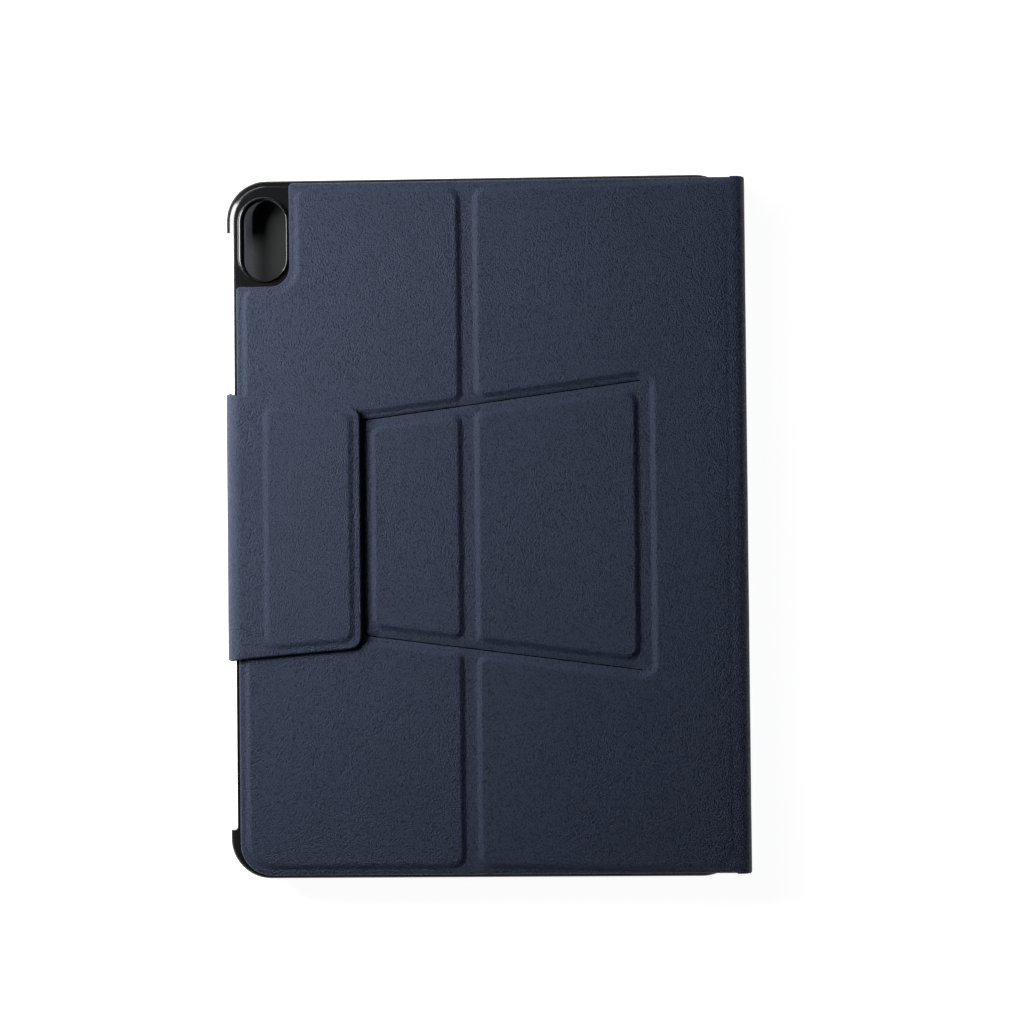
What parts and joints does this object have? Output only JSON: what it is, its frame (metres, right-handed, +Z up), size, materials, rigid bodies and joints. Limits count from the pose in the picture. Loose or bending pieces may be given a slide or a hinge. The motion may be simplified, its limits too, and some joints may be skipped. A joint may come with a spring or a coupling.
{
  "type": "tablet keyboard case",
  "caption": "Folio case with a thin keyboard in the cover, a hard tray for a tablet, a back that folds into a stand with a tapered brace, and a closure flap.",
  "frame": {"origin": "middle of the closed case on the outer face of the keyboard cover, which it lies on", "axes": "+X along the long side, +Y towards the spine, +Z up through the keyboard and the tablet bay to the hinged back"},
  "size_m": [0.254, 0.1896, 0.0213],
  "materials": {
    "leatherette": "fine pebbled, satin",
    "stiffener_board": "grey board",
    "microfibre_lining": "short nap",
    "gloss_black_shell": "gloss",
    "keyboard_housing": "fine texture",
    "key_plastic": "satin",
    "circuit_board": "satin",
    "membrane_sheet": "satin",
    "battery_foil": "satin",
    "bare_steel": "brushed",
    "plated_magnet": "polished",
    "light_pipe": "frosted"
  },
  "bodies": {
    "keyboard_cover": {"cover_outer_skin": "leatherette", "cover_stiffener_board": "stiffener_board", "cover_inner_lining": "microfibre_lining", "keyboard_bottom_housing": "keyboard_housing", "keyboard_top_frame": "keyboard_housing", "keyboard_membrane": "membrane_sheet", "keyboard_circuit_board": "circuit_board", "keyboard_batteries": "battery_foil", "charging_port": "bare_steel", "status_leds": "light_pipe", "keyboard_screws": "bare_steel"},
    "power_slider": {"power_switch": "key_plastic"},
    "spine": {"spine_skin": "leatherette", "spine_board": "stiffener_board", "spine_lining": "microfibre_lining"},
    "tray_and_lower_back": {"tray_back_plate": "gloss_black_shell", "tray_head_wall": "gloss_black_shell", "tray_foot_wall": "gloss_black_shell", "tray_spine_wall": "gloss_black_shell", "tray_lip": "gloss_black_shell", "lower_back_skin": "leatherette", "lower_back_board": "stiffener_board", "lower_back_lining": "microfibre_lining"},
    "back_leg": {"leg_skin": "leatherette", "leg_board": "stiffener_board", "leg_lining": "microfibre_lining", "leg_steel_plate": "bare_steel"},
    "brace": {"brace_skin": "leatherette", "brace_board": "stiffener_board", "brace_lining": "microfibre_lining"},
    "brace_tip": {"brace_tip_skin": "leatherette", "brace_tip_board": "stiffener_board", "brace_tip_lining": "microfibre_lining", "brace_tip_magnets": "plated_magnet"},
    "closure_strip": {"closure_strip_skin": "leatherette", "closure_strip_lining": "microfibre_lining"},
    "closure_flap": {"closure_flap_skin": "leatherette", "closure_flap_board": "stiffener_board", "closure_flap_lining": "microfibre_lining", "closure_flap_magnets": "plated_magnet"},
    "function_row_keys_body": {"function_row_keys": "key_plastic"},
    "number_row_keys_body": {"number_row_keys": "key_plastic"},
    "backspace_key_body": {"backspace_key": "key_plastic"},
    "tab_key_body": {"tab_key": "key_plastic"},
    "upper_letter_keys_body": {"upper_letter_keys": "key_plastic"},
    "backslash_key_body": {"backslash_key": "key_plastic"},
    "caps_lock_key_body": {"caps_lock_key": "key_plastic"},
    "home_row_keys_body": {"home_row_keys": "key_plastic"},
    "return_key_body": {"return_key": "key_plastic"},
    "left_shift_key_body": {"left_shift_key": "key_plastic"},
    "lower_letter_keys_body": {"lower_letter_keys": "key_plastic"},
    "right_shift_key_body": {"right_shift_key": "key_plastic"},
    "left_modifier_keys_body": {"left_modifier_keys": "key_plastic"},
    "space_bar_body": {"space_bar": "key_plastic"},
    "right_modifier_keys_body": {"right_modifier_keys": "key_plastic"},
    "arrow_left_key_body": {"arrow_left_key": "key_plastic"},
    "arrow_up_key_body": {"arrow_up_key": "key_plastic"},
    "arrow_down_key_body": {"arrow_down_key": "key_plastic"},
    "arrow_right_key_body": {"arrow_right_key": "key_plastic"}
  },
  "joints": [
    {"name": "case_spine_fold", "type": "hinge", "parent": "keyboard_cover", "child": "spine", "pos_m": [0, 0.0932, 0.0016], "axis": [-1, 0, 0], "range_deg": [0, 90]},
    {"name": "lid_tilt", "type": "hinge", "parent": "spine", "child": "tray_and_lower_back", "pos_m": [0, 0.0932, 0.0163], "axis": [-1, 0, 0], "range_deg": [0, 37.05]},
    {"name": "back_leg_fold", "type": "hinge", "parent": "tray_and_lower_back", "child": "back_leg", "pos_m": [0, -0.0065, 0.0177], "axis": [-1, 0, 0], "range_deg": [0, 127], "deforming": ["closure_strip_skin", "closure_strip_lining", "closure_flap_skin", "closure_flap_board", "closure_flap_lining", "closure_flap_magnets"]},
    {"name": "brace_fold", "type": "hinge", "parent": "tray_and_lower_back", "child": "brace", "pos_m": [0, 0.0571, 0.0177], "axis": [-1, 0, 0], "range_deg": [0, 78.28]},
    {"name": "brace_tip_fold", "type": "hinge", "parent": "brace", "child": "brace_tip", "pos_m": [0, -0.0065, 0.0177], "axis": [-1, 0, 0], "range_deg": [-131.28, 0]},
    {"name": "closure_strip_fold", "type": "hinge", "parent": "keyboard_cover", "child": "closure_strip", "pos_m": [0, -0.0932, 0.0016], "axis": [1, 0, 0], "range_deg": [0, 90]},
    {"name": "closure_flap_fold", "type": "hinge", "parent": "closure_strip", "child": "closure_flap", "pos_m": [0, -0.0932, 0.0197], "axis": [1, 0, 0], "range_deg": [0, 90]},
    {"name": "power_switch_slide", "type": "slide", "parent": "keyboard_cover", "child": "power_slider", "axis": [1, 0, 0], "range_m": [0, 0.003]},
    {"name": "press_function_row_keys", "type": "slide", "parent": "keyboard_cover", "child": "function_row_keys_body", "axis": [0, 0, -1], "range_m": [0, 0.0012], "stiffness_N_per_m": 6000, "springref_m": -0.0006},
    {"name": "press_number_row_keys", "type": "slide", "parent": "keyboard_cover", "child": "number_row_keys_body", "axis": [0, 0, -1], "range_m": [0, 0.0012], "stiffness_N_per_m": 5200, "springref_m": -0.0006},
    {"name": "press_backspace_key", "type": "slide", "parent": "keyboard_cover", "child": "backspace_key_body", "axis": [0, 0, -1], "range_m": [0, 0.0012], "stiffness_N_per_m": 400, "springref_m": -0.0006},
    {"name": "press_tab_key", "type": "slide", "parent": "keyboard_cover", "child": "tab_key_body", "axis": [0, 0, -1], "range_m": [0, 0.0012], "stiffness_N_per_m": 400, "springref_m": -0.0006},
    {"name": "press_upper_letter_keys", "type": "slide", "parent": "keyboard_cover", "child": "upper_letter_keys_body", "axis": [0, 0, -1], "range_m": [0, 0.0012], "stiffness_N_per_m": 4800, "springref_m": -0.0006},
    {"name": "press_backslash_key", "type": "slide", "parent": "keyboard_cover", "child": "backslash_key_body", "axis": [0, 0, -1], "range_m": [0, 0.0012], "stiffness_N_per_m": 400, "springref_m": -0.0006},
    {"name": "press_caps_lock_key", "type": "slide", "parent": "keyboard_cover", "child": "caps_lock_key_body", "axis": [0, 0, -1], "range_m": [0, 0.0012], "stiffness_N_per_m": 400, "springref_m": -0.0006},
    {"name": "press_home_row_keys", "type": "slide", "parent": "keyboard_cover", "child": "home_row_keys_body", "axis": [0, 0, -1], "range_m": [0, 0.0012], "stiffness_N_per_m": 4400, "springref_m": -0.0006},
    {"name": "press_return_key", "type": "slide", "parent": "keyboard_cover", "child": "return_key_body", "axis": [0, 0, -1], "range_m": [0, 0.0012], "stiffness_N_per_m": 400, "springref_m": -0.0006},
    {"name": "press_left_shift_key", "type": "slide", "parent": "keyboard_cover", "child": "left_shift_key_body", "axis": [0, 0, -1], "range_m": [0, 0.0012], "stiffness_N_per_m": 400, "springref_m": -0.0006},
    {"name": "press_lower_letter_keys", "type": "slide", "parent": "keyboard_cover", "child": "lower_letter_keys_body", "axis": [0, 0, -1], "range_m": [0, 0.0012], "stiffness_N_per_m": 4000, "springref_m": -0.0006},
    {"name": "press_right_shift_key", "type": "slide", "parent": "keyboard_cover", "child": "right_shift_key_body", "axis": [0, 0, -1], "range_m": [0, 0.0012], "stiffness_N_per_m": 400, "springref_m": -0.0006},
    {"name": "press_left_modifier_keys", "type": "slide", "parent": "keyboard_cover", "child": "left_modifier_keys_body", "axis": [0, 0, -1], "range_m": [0, 0.0012], "stiffness_N_per_m": 1600, "springref_m": -0.0006},
    {"name": "press_space_bar", "type": "slide", "parent": "keyboard_cover", "child": "space_bar_body", "axis": [0, 0, -1], "range_m": [0, 0.0012], "stiffness_N_per_m": 400, "springref_m": -0.0006},
    {"name": "press_right_modifier_keys", "type": "slide", "parent": "keyboard_cover", "child": "right_modifier_keys_body", "axis": [0, 0, -1], "range_m": [0, 0.0012], "stiffness_N_per_m": 800, "springref_m": -0.0006},
    {"name": "press_arrow_left_key", "type": "slide", "parent": "keyboard_cover", "child": "arrow_left_key_body", "axis": [0, 0, -1], "range_m": [0, 0.0012], "stiffness_N_per_m": 400, "springref_m": -0.0006},
    {"name": "press_arrow_up_key", "type": "slide", "parent": "keyboard_cover", "child": "arrow_up_key_body", "axis": [0, 0, -1], "range_m": [0, 0.0012], "stiffness_N_per_m": 400, "springref_m": -0.0006},
    {"name": "press_arrow_down_key", "type": "slide", "parent": "keyboard_cover", "child": "arrow_down_key_body", "axis": [0, 0, -1], "range_m": [0, 0.0012], "stiffness_N_per_m": 400, "springref_m": -0.0006},
    {"name": "press_arrow_right_key", "type": "slide", "parent": "keyboard_cover", "child": "arrow_right_key_body", "axis": [0, 0, -1], "range_m": [0, 0.0012], "stiffness_N_per_m": 400, "springref_m": -0.0006}
  ],
  "couplings": [
    {"joint": "brace_tip_fold", "follows": "brace_fold", "ratio": -1.6771}
  ]
}
